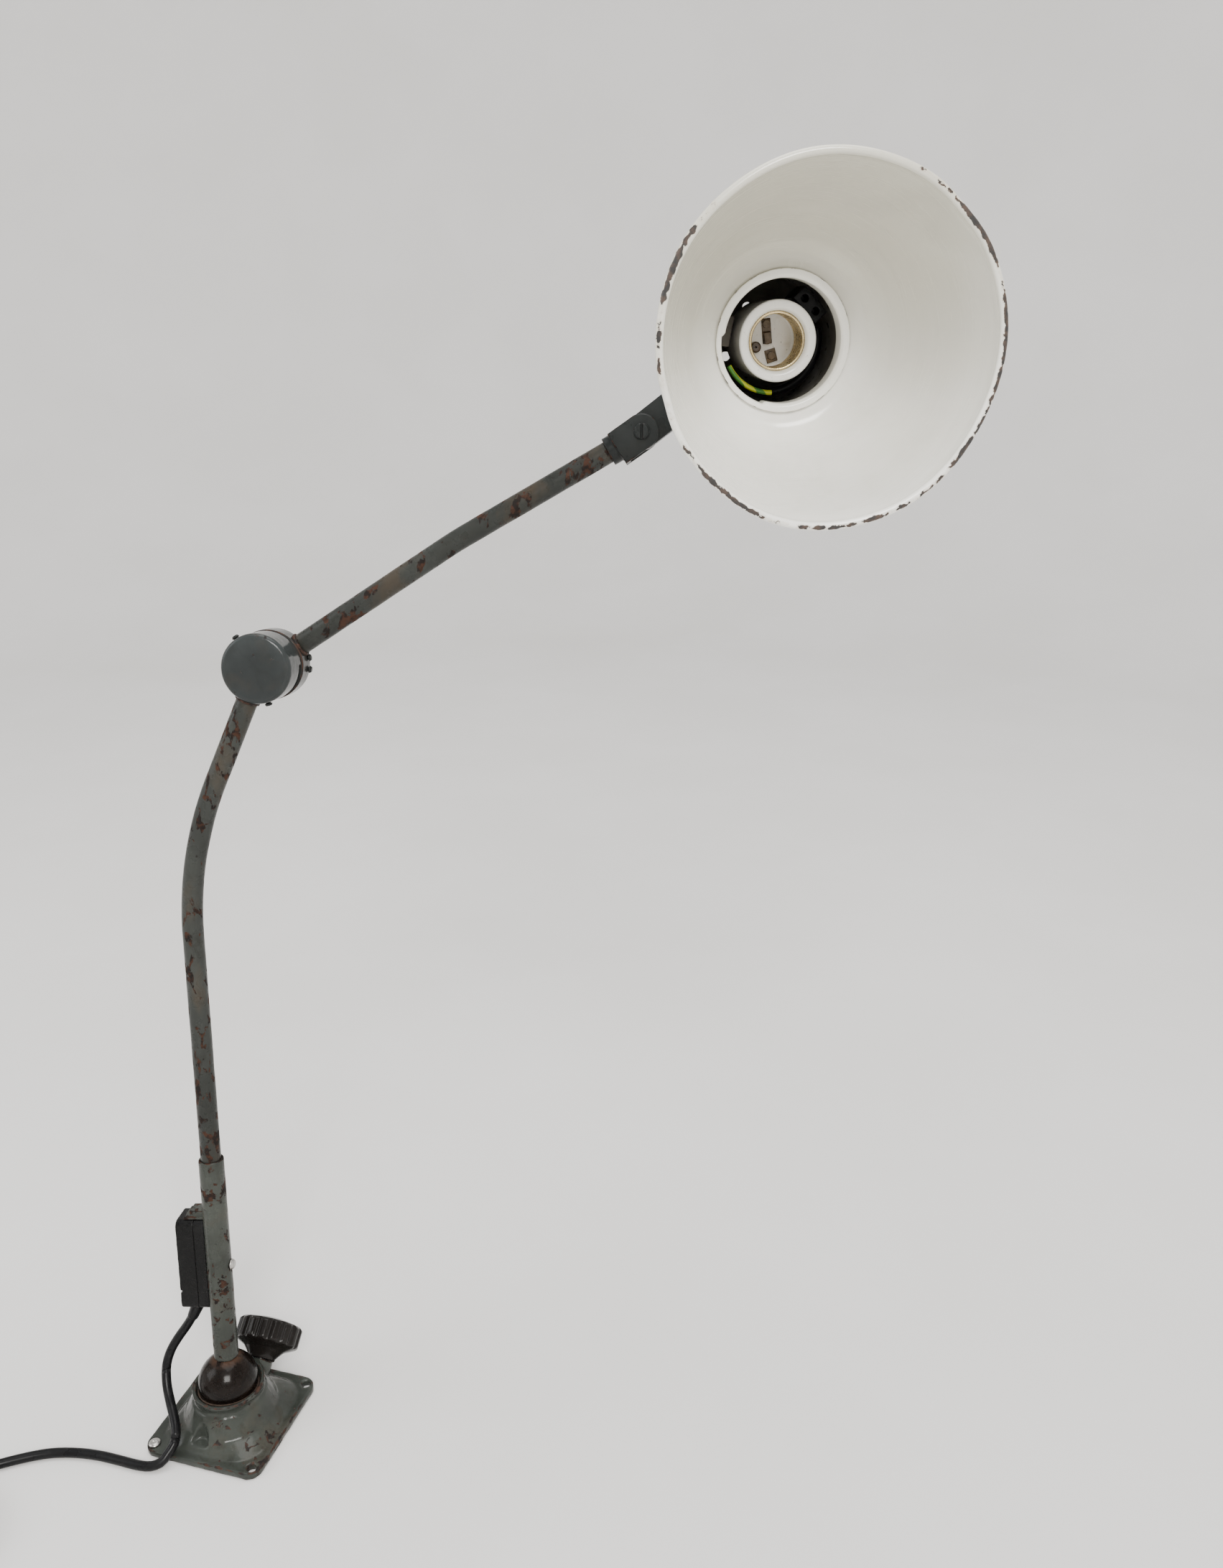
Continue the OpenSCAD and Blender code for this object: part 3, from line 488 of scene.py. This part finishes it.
def smooth_line(points, step):
    """Evenly spaced points on a smooth curve through the route, in metres."""
    p = [Vector(q) * MM for q in points]
    p = [p[0] * 2 - p[1], *p, p[-1] * 2 - p[-2]]
    fine = []
    for a, b, c, d in zip(p, p[1:], p[2:], p[3:]):
        for k in range(12):
            t = k / 12
            fine.append(0.5 * ((2 * b) + (c - a) * t + (2 * a - 5 * b + 4 * c - d) * t * t
                + (3 * b - a - 3 * c + d) * t ** 3))
    fine.append(p[-2])
    line, left = [fine[0]], step
    for a, b in zip(fine, fine[1:]):
        length = (b - a).length
        while left <= length:
            a = a.lerp(b, left / length)
            length = (b - a).length
            line.append(a)
            left = step
        left -= length
    if (line[-1] - fine[-1]).length < step * 0.4:
        line.pop()
    line.append(fine[-1])
    return line


# ---- free cord: the CAD model's route points, in mm ----

HANGING_ROUTE = [(-24.5, 6.5, 75), (-30, 5, 65.5), (-35.5, 2, 57), (-39.5, -2, 49),
    (-40.5, -7, 41), (-37.5, -13, 32.5), (-32, -19, 25.5), (-25.5, -25.5, 20),
    (-20.5, -31.5, 15.5), (-18.5, -37, 11.5), (-20, -42, 8.2)]
FLOOR_ROUTE = [(-22, -46.5, 5.3), (-28, -49.8, 3.5), (-37, -50.8, 3),
    (-50, -50.8, 3), (-64, -51, 3), (-80, -53, 3), (-97, -58, 3), (-113, -67, 3),
    (-129, -78.5, 3), (-144, -91, 3), (-158, -102.5, 3.9)]
TAIL_ROUTE = [(-146, -94, 9.9), (-156, -95, 8.8), (-166, -97, 6),
    (-178, -101, 5), (-189, -107.5, 8), (-196, -116.5, 13), (-199.5, -127, 17.5),
    (-200, -138, 19)]
COIL_AT = (-132, -136)
COIL_TURNS = (30, 36, 42)
COIL_LAYERS = (4.0, 10.1)


def coil_route():
    """Turns from the outside in on the surface, then from the inside out on top of them."""
    points = []
    start = math.atan2(FLOOR_ROUTE[-1][1] - COIL_AT[1], FLOOR_ROUTE[-1][0] - COIL_AT[0])
    finish = math.radians(90)
    turns = len(COIL_TURNS)
    per_turn = 24
    total = 2 * turns * per_turn
    sweep_angle = 2 * math.pi * (2 * turns) - ((start - finish) % (2 * math.pi))
    for i in range(1, total + 1):
        t = i / total
        angle = start + sweep_angle * t
        if t < 0.5:
            radius = COIL_TURNS[-1] - (COIL_TURNS[-1] - COIL_TURNS[0]) * min(1, t / 0.46)
        else:
            radius = COIL_TURNS[0] + (COIL_TURNS[-1] - COIL_TURNS[0]) * max(0, (t - 0.54) / 0.46)
        rise = max(0.0, min(1.0, (t - 0.46) / 0.08))
        rise = rise * rise * (3 - 2 * rise)
        height = COIL_LAYERS[0] + (COIL_LAYERS[1] - COIL_LAYERS[0]) * rise
        points.append((COIL_AT[0] + radius * math.cos(angle), COIL_AT[1] + radius * math.sin(angle), height))
    return points


def cord_mesh(name, line, material, replaced=()):
    piece = bpy.data.objects.new(name, sweep(name, line, CORD_D / 2, 20))
    scene.collection.objects.link(piece)
    for polygon in piece.data.polygons:
        polygon.use_smooth = True
    piece.data.materials.append(material)
    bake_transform(piece)
    if replaced:
        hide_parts(*replaced)
    return piece


def make_cords(material):
    line = smooth_line(HANGING_ROUTE + FLOOR_ROUTE, 3.1 * MM)
    cut1, cut2 = 14, 28
    upper, middle, lower = line[:cut1 + 1], line[cut1:cut2 + 1], line[cut2:]
    cord_mesh("cord_upper", upper, material,
        ("cord_hanging",))
    cord_mesh("cord_middle", middle, material)
    cord_mesh("cord_lower", lower, material,
        ("cord_floor",))
    spare = [FLOOR_ROUTE[-1]] + coil_route() + TAIL_ROUTE
    curve = bpy.data.curves.new("cord_spare", "CURVE")
    curve.dimensions = "3D"
    curve.bevel_depth = CORD_D / 2
    curve.bevel_resolution = 4
    curve.resolution_u = 2
    curve.use_fill_caps = True
    spline = curve.splines.new("POLY")
    fine = smooth_line(spare, 3 * MM)
    spline.points.add(len(fine) - 1)
    for point, place in zip(spline.points, fine):
        point.co = (*place, 1)
    curve.materials.append(material)
    piece = bpy.data.objects.new("cord_spare", curve)
    scene.collection.objects.link(piece)
    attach(piece, "base")
    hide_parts("cord_coil", "cord_tail")


# ---- the floor ----

def make_floor():
    n = Nodes("floor_pale", roughness=0.85)
    n.set("Base Color", n.blend(n.ramp(n.noise(3, 4), 0.3, 0.7), (0.70, 0.69, 0.675), (0.73, 0.72, 0.71)))
    bm = bmesh.new()
    profile = [(0.0, 0.0), (1.2, 0.0), (2.4, 0.0)]
    profile += [(2.4 + 1.2 * math.sin(a), 1.2 - 1.2 * math.cos(a)) for a in
        (math.radians(d) for d in range(6, 91, 6))]
    profile += [(3.6, 2.4), (3.6, 3.6)]
    steps = 96
    rings = []
    for r, z in profile[1:]:
        rings.append([bm.verts.new((0.1 + r * math.cos(2 * math.pi * i / steps),
            r * math.sin(2 * math.pi * i / steps), z - 0.0002)) for i in range(steps)])
    bm.faces.new(rings[0])
    for a, b in zip(rings, rings[1:]):
        for i in range(steps):
            k = (i + 1) % steps
            bm.faces.new((a[i], a[k], b[k], b[i]))
    mesh = mesh_from(bm, "floor")
    for polygon in mesh.polygons:
        polygon.use_smooth = True
    floor = bpy.data.objects.new("floor", mesh)
    scene.collection.objects.link(floor)
    floor.data.materials.append(n.material)


# ---- materials, one for each finish ----

MAT = {
    "base": worn_paint("base_paint", (0.033, 0.037, 0.032), 0.46, 0.2, 0.5, 0.2, edge=0.2, sheen=0.22),
    "arm": worn_paint("arm_paint", (0.030, 0.032, 0.029), 0.84, 0.4, 0.4, 0.3, along=(1, 1, 0.5)),
    "sleeve": worn_paint("sleeve_paint", (0.041, 0.045, 0.039), 0.82, 0.2, 0.35, 0.28, edge=0.12),
    "elbow": worn_paint("elbow_paint", (0.027, 0.031, 0.031), 0.42, 0.12, 0.25, 0.17, edge=0.5, sheen=0.2),
    "fork": worn_paint("fork_paint", (0.015, 0.017, 0.0165), 0.12, 0.04, 0.2, 0.32, edge=0.16),
    "housing": worn_paint("housing_paint", (0.170, 0.155, 0.130), 0.30, 0.16, 0.4, 0.36, edge=0.2),
    "enamel": enamel("shade_enamel"),
    "neck": enamel("neck_enamel", 0.25, False),
    "porcelain": porcelain("holder_porcelain"),
    "bakelite": moulded("bakelite_black", (0.010, 0.0085, 0.0075), 0.16, 0.10, 0.05, 0.12),
    "switch": moulded("switch_black", (0.005, 0.005, 0.005), 0.3, 0.16, 0.08, 0.04),
    "ball": dark_iron("ball_iron"),
    "steel": bare_metal("steel_plated", (0.52, 0.51, 0.49), 0.32),
    "dark_steel": bare_metal("steel_dark", (0.10, 0.09, 0.08), 0.42, (0.09, 0.045, 0.025), 0.6),
    "brass": bare_metal("brass_worn", (0.72, 0.58, 0.33), 0.27, (0.24, 0.17, 0.09), 0.35),
    "contact": bare_metal("contact_dull", (0.12, 0.095, 0.07), 0.42, (0.03, 0.02, 0.017), 0.8),
    "fibre": fibre("fibre_brown"),
    "rust": fibre("rusted_faces", (0.055, 0.034, 0.022)),
    "cord": rubber("cord_black"),
    "earth": striped_wire("earth_wire_stripes"),
}


# ---- pieces ----

HOLE_PITCH, SCREW_SEAT = 70, 4.7


def make_base():
    softened("foot", "base_casting", MAT["base"], "base", 0.75, 9, 0.16, 7)
    dress("seat_ring", "fibre")
    dress("clamp_cotter", "dark_steel")
    dress("clamp_stud", "steel")
    dress("friction_liner", "rust")
    softened("clamp_handwheel", "clamp_knob", MAT["bakelite"], "knob", 0.55, 5)
    make_wood_screw()


def make_wood_screw():
    """Raised cross-head screw in the left front hole, on the base."""
    bm = bmesh.new()
    at = shift(-HOLE_PITCH / 2, -HOLE_PITCH / 2, SCREW_SEAT) @ turn("Z", 20)
    steps, rings = 48, []
    outline = [(2.1, -4.6), (2.2, -0.2), (3.5, 0.35), (3.8, 0.75), (3.55, 1.2), (2.9, 1.6),
        (2.2, 1.85), (1.5, 2.0)]
    for r, z in outline:
        rings.append([bm.verts.new(Vector((r * math.cos(2 * math.pi * i / steps),
            r * math.sin(2 * math.pi * i / steps), z))) for i in range(steps)])
    for a, b in zip(rings, rings[1:]):
        for i in range(steps):
            k = (i + 1) % steps
            bm.faces.new((a[i], a[k], b[k], b[i]))
    bm.faces.new(rings[0][::-1])
    top = bm.faces.new(rings[-1])
    inner = []
    for i in range(steps):
        a = 2 * math.pi * i / steps
        arm = max(abs(math.cos(2 * a)), 0.0) ** 3
        r = 0.45 + 1.0 * arm
        inner.append(bm.verts.new((r * math.cos(a), r * math.sin(a), 1.98)))
    bm.faces.remove(top)
    floor = [bm.verts.new((v.co.x * 0.72, v.co.y * 0.72, 0.9)) for v in inner]
    for a, b in ((rings[-1], inner), (inner, floor)):
        for i in range(steps):
            k = (i + 1) % steps
            bm.faces.new((a[i], a[k], b[k], b[i]))
    bm.faces.new(floor)
    for vertex in bm.verts:
        vertex.co = at @ (vertex.co * MM)
    new_object("wood_screw", mesh_from(bm, "wood_screw"), MAT["steel"], "base")


def dress(node, material):
    """Gives a CAD node that stays its own material."""
    piece = NODES[node]
    piece.data.materials.clear()
    piece.data.materials.append(MAT[material])
    return piece


def make_ball():
    piece = softened("ball_and_stem", "ball", MAT["ball"], "ball", 0.7, 5)
    up = AT_SLEEVE.to_3x3() @ Vector((0, 0, 1))
    centre = AT_SLEEVE.translation
    rise = []
    for vertex in piece.data.vertices:
        height = (vertex.co - centre).dot(up) / MM
        rise.append(max(0.0, min(1.0, (height - 14.8) / 3)))
    piece.data.attributes.new("rise", "FLOAT", "POINT").data.foreach_set("value", rise)


def weld_bead(name, at, radius, thick, material, body, lumps=13):
    """A rough ring of weld or solder round a tube's root."""
    def shape(r, z, angle, j):
        swell = 1 + 0.22 * math.sin(lumps * angle) * math.sin(2.3 * angle + 1)
        return radius + (r - radius) * swell, z * swell
    outline = [(radius + thick * math.cos(math.radians(a)), thick * 1.3 * math.sin(math.radians(a)))
        for a in range(0, 360, 30)]
    return lathe(name, outline, at, material, body, 64, shape)


def make_lower_arm():
    softened("sleeve_tube", "sleeve", MAT["sleeve"], "lower_arm", 0.55, 3)
    tube("lower_arm_tube", AT_SLEEVE, bent_path(98, BEND1_Z, BEND1, BEND1_R, BEND1_TO_ELBOW - 19),
        MAT["arm"], "lower_arm", "lower_tube")
    softened("front_drum", "elbow_drum", MAT["elbow"], "lower_arm", 0.5, 6, 0.06, 5)
    weld_bead("drum_weld", AT_ELBOW @ shift(0, 0, -20.6), 6.4, 0.9, MAT["elbow"], "lower_arm")
    softened("drum_set_screws", "drum_screws", MAT["fork"], "lower_arm", 0.25, 4)
    dress("lower_cable", "cord")
    dress("drum_plate", "rust")
    dress("elbow_bolt", "dark_steel")
    dress("elbow_nut", "dark_steel")
    dress("elbow_spring", "dark_steel")
    softened("switch_back", "switch_base", MAT["switch"], "lower_arm", 0.4, 4)
    softened("switch_case", "switch_cover", MAT["switch"], "lower_arm", 0.4, 4)
    softened("switch_rocker_key", "switch_rocker", MAT["bakelite"], "rocker", 0.3, 5)
    softened("switch_clip", "switch_bracket", MAT["sleeve"], "lower_arm", 0.35, 3)
    softened("switch_fixing", "switch_screw", MAT["steel"], "lower_arm", 0.25, 4)
    softened("cord_gland", "cord_grommet", MAT["cord"], "lower_arm", 0.35, 4)


def make_upper_arm():
    dress("elbow_washer", "rust")
    dress("elbow_hub", "rust")
    softened("rear_cup", "elbow_cup", MAT["elbow"], "upper_arm", 0.5, 6, 0.06, 5)
    softened("cup_set_screws", "cup_screws", MAT["fork"], "upper_arm", 0.25, 4)
    tube("upper_arm_tube", AT_UPPER, bent_path(19.5, ELBOW_TO_BEND2, BEND2, BEND2_R, BEND2_TO_PIVOT - 17.6),
        MAT["arm"], "upper_arm", "upper_tube")
    weld_bead("cup_weld", AT_UPPER @ shift(0, 0, 20.9), 6.4, 0.9, MAT["elbow"], "upper_arm")
    dress("upper_cable", "cord")
    softened("fork", "clevis_fork", MAT["fork"], "upper_arm", 0.4, 4, 0.04, 4)
    dress("fork_washers", "fibre")
    softened("fork_pin", "fork_screw", MAT["fork"], "upper_arm", 0.22, 3)
    softened("fork_pin_nut", "fork_nut", MAT["fork"], "upper_arm", 0.3, 3)


def make_tongue():
    softened("tongue_bar", "tongue", MAT["fork"], "tongue", 0.45, 4, 0.04, 4)
    dress("swivel_washer", "steel")
    dress("swivel_spring", "steel")
    dress("swivel_nut", "steel")


# ---- the head, in the head's own frame: Z runs out of the shade, 0 degrees is its X ----

NECK_R, SHADE_R, BEAD_R, SHADE_WALL = 38, 80, 1.9, 1.2
SHADE_BACK, RIM_Z, SWEEP = 55.4, 158, 50
RIM_IN = 33.3


def shade_point(u):
    a, whole = math.radians(u * SWEEP), math.radians(SWEEP)
    return Vector((NECK_R + (SHADE_R - BEAD_R - NECK_R) * math.sin(a) / math.sin(whole),
        SHADE_BACK + (RIM_Z - BEAD_R - SHADE_BACK) * (1 - math.cos(a)) / (1 - math.cos(whole))))


def shade_outline():
    """The wall's inside from neck to rim, round the rolled bead, back along the outside."""
    inside, outside = [], []
    rows = 44
    for i in range(rows + 1):
        u = i / rows
        ahead = (shade_point(u + 0.01) - shade_point(u - 0.01)).normalized()
        side = Vector((-ahead.y, ahead.x)) * SHADE_WALL / 2
        inside.append(shade_point(u) + side)
        outside.append(shade_point(u) - side)
    centre = Vector((SHADE_R - BEAD_R, RIM_Z - BEAD_R))
    bead = []
    for d in range(200, -101, -20):
        a = math.radians(d)
        bead.append(centre + Vector((math.cos(a), math.sin(a))) * BEAD_R)
    inside = [p for p in inside if (p - centre).length > BEAD_R * 1.15]
    outside = [p for p in outside if (p - centre).length > BEAD_R * 1.05]
    root = [Vector((NECK_R, SHADE_BACK - 0.6)), Vector((RIM_IN, SHADE_BACK - 0.6)),
        Vector((RIM_IN, SHADE_BACK + 0.6)), Vector((NECK_R - 1.2, SHADE_BACK + 0.6))]
    points = inside + bead + outside[::-1] + root
    return [(p.x, p.y) for p in points], len(inside), len(inside) + len(bead)


def make_shade():
    outline, bead_from, bead_to = shade_outline()
    bead_mid = (bead_from + bead_to) / 2

    def dented(r, z, angle, j):
        out = max(0.0, (r - NECK_R) / (SHADE_R - NECK_R))
        oval = (0.55 * math.cos(2 * angle + 0.6) + 0.35 * math.cos(3 * angle + 2.0)
            + 0.22 * math.cos(7 * angle))
        dent = -1.1 * math.exp(-((angle - math.radians(100)) / 0.16) ** 2)
        dent -= 0.8 * math.exp(-((angle - math.radians(250)) / 0.12) ** 2)
        wave = 0.5 * math.cos(2 * angle + 2.1) + 0.25 * math.cos(5 * angle)
        spun = 0.05 * math.sin(z * 1.9) + 0.04 * math.sin(z * 0.83 + 1)
        return r + out ** 3 * (oval + dent) - 0.4 * out + spun, z + out ** 3 * (wave - 0.7)

    def marks(r, z, angle, j):
        worn = 0.0
        for centre, width, most in ((92, 20, 1.0), (52, 26, 0.86), (20, 22, 0.74), (-74, 22, 0.85),
                (-25, 26, 0.7), (208, 16, 0.85), (-125, 18, 0.55)):
            off = (math.degrees(angle) - centre + 180) % 360 - 180
            worn = max(worn, most * math.exp(-(off / width) ** 2))
        near = math.exp(-((j - bead_mid + 1.5) / 4.2) ** 2)
        # Painted shade: low is 1 on the lower side of the bowl, and one minus it darkens the upper inside.
        low = 0.5 - 0.5 * math.cos(angle - math.radians(54 + 100))
        return {"chip": near * (0.50 + 0.42 * worn), "along": z / 100, "swing": math.cos(angle),
            "painted_shade": 1 - low}

    piece = lathe("enamelled_shade", outline, AT_HEAD, MAT["enamel"], "head", 256, dented, marks)
    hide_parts("shade")


def make_neck_ring():
    front, back = 58.1, 46.5
    outline = rounded([(30.5, back), (33.1, back), (33.1, 56.1), (35.0, 56.1), (35.0, front), (32.0, front),
        (30.5, front - 1.4)], 0.7)

    def notched(r, z, angle, j):
        a = math.degrees(angle) % 360
        cut = max(0.0, min(1.0, (a - 226) / 2.5)) * max(0.0, min(1.0, (308 - a) / 2.5))
        if r < 32.2:
            r += 1.5 * cut
        return r + 0.12 * math.cos(3 * angle), z

    def marks(r, z, angle, j):
        edge = math.exp(-((r - 34.9) / 0.45) ** 2) + 0.8 * math.exp(-((r - 30.8) / 0.5) ** 2)
        # An even, light share of the painted shade for the whole collar.
        return {"chip": 0.62 * min(1.0, edge), "along": 0.0, "swing": 0.0, "painted_shade": 0.4}

    piece = lathe("neck_collar", outline, AT_HEAD, MAT["neck"], "head", 192, notched, marks)
    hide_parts("neck_ring")


HOLDER_FLOOR = 17


def make_holder():
    outline = rounded([(0.6, 2), (18.6, 2), (20.6, 4.5), (20.6, 45), (16.4, 45), (15, 42.6),
        (15, HOLDER_FLOOR), (0.6, HOLDER_FLOOR)], 1.5, 5)
    piece = lathe("porcelain_holder", outline, AT_HEAD, MAT["porcelain"], "head", 128)
    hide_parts("lamp_holder")
    make_holder_floor()
    make_screw_shell()


def make_holder_floor():
    """The centre rivet and the round screw head on the porcelain floor."""
    foot = HOLDER_FLOOR + 0.05
    for name, radius, reach, angle, top in (("centre_rivet", 2.3, 0, 0, 19.0),
            ("floor_screw", 2.9, 7.4, 264, 19.4)):
        outline = rounded([(0.4, foot), (radius, foot), (radius, top - 0.5), (radius - 0.6, top),
            (0.4, top)], 0.3)
        at = AT_HEAD @ turn("Z", angle) @ shift(reach, 0, 0)
        lathe(name, outline, at, MAT["dark_steel"], "head", 40)


def make_screw_shell():
    """Brass shell with rolled threads and a rolled lip."""
    pitch, depth = 3.6, 0.45
    rows = 60
    inner = [(13.35, 23 + 17.5 * i / rows) for i in range(rows + 1)]
    outline = inner + [(13.5, 41.6), (13.9, 42), (14.6, 42), (14.9, 41.7), (14.9, 41.1), (14.2, 40.8)]
    outline += [(14.2, 40 - 17 * i / 8) for i in range(9)]
    threads = len(inner)

    def threaded(r, z, angle, j):
        if j < threads:
            lift = math.sin(2 * math.pi * (z / pitch - angle / (2 * math.pi)))
            ends = min(1.0, (z - 23) / 1.5, (40.5 - z) / 1.5)
            return r + depth * 0.5 * lift * max(0.0, ends) + 0.2, z
        return r, z

    piece = lathe("screw_shell", outline, AT_HEAD, MAT["brass"], "head", 128, threaded)
    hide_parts("brass_shell")


def make_head():
    make_shade()
    make_neck_ring()
    make_holder()
    softened("socket_housing", "lamp_housing", MAT["housing"], "head", 0.9, 5, 0.05, 6)
    softened("socket_contacts", "contacts", MAT["contact"], "head", 0.22, 3)
    softened("socket_screws", "contact_screws", MAT["contact"], "head", 0.2, 3)
    softened("terminal_strip", "terminal_block", MAT["switch"], "head", 0.35, 3)
    softened("earth_tab", "earth_plate", MAT["housing"], "head", 0.4, 2)
    dress("holder_nipple", "steel")
    softened("nipple_nuts", "nipple_nut", MAT["steel"], "head", 0.35, 3)
    dress("earth_wire", "earth")
    dress("head_cable", "cord")


def make_plug():
    softened("plug_shell", "plug_body", MAT["switch"], "base", 0.5, 4)
    softened("plug_contacts", "plug_pins", MAT["brass"], "base", 0.3, 4)
    softened("cord_tie", "coil_tie", MAT["switch"], "base", 0.35, 2)


make_camera()
make_lights()
make_floor()
make_plug()
make_cords(MAT["cord"])
make_base()
make_ball()
make_lower_arm()
make_upper_arm()
make_tongue()
make_head()
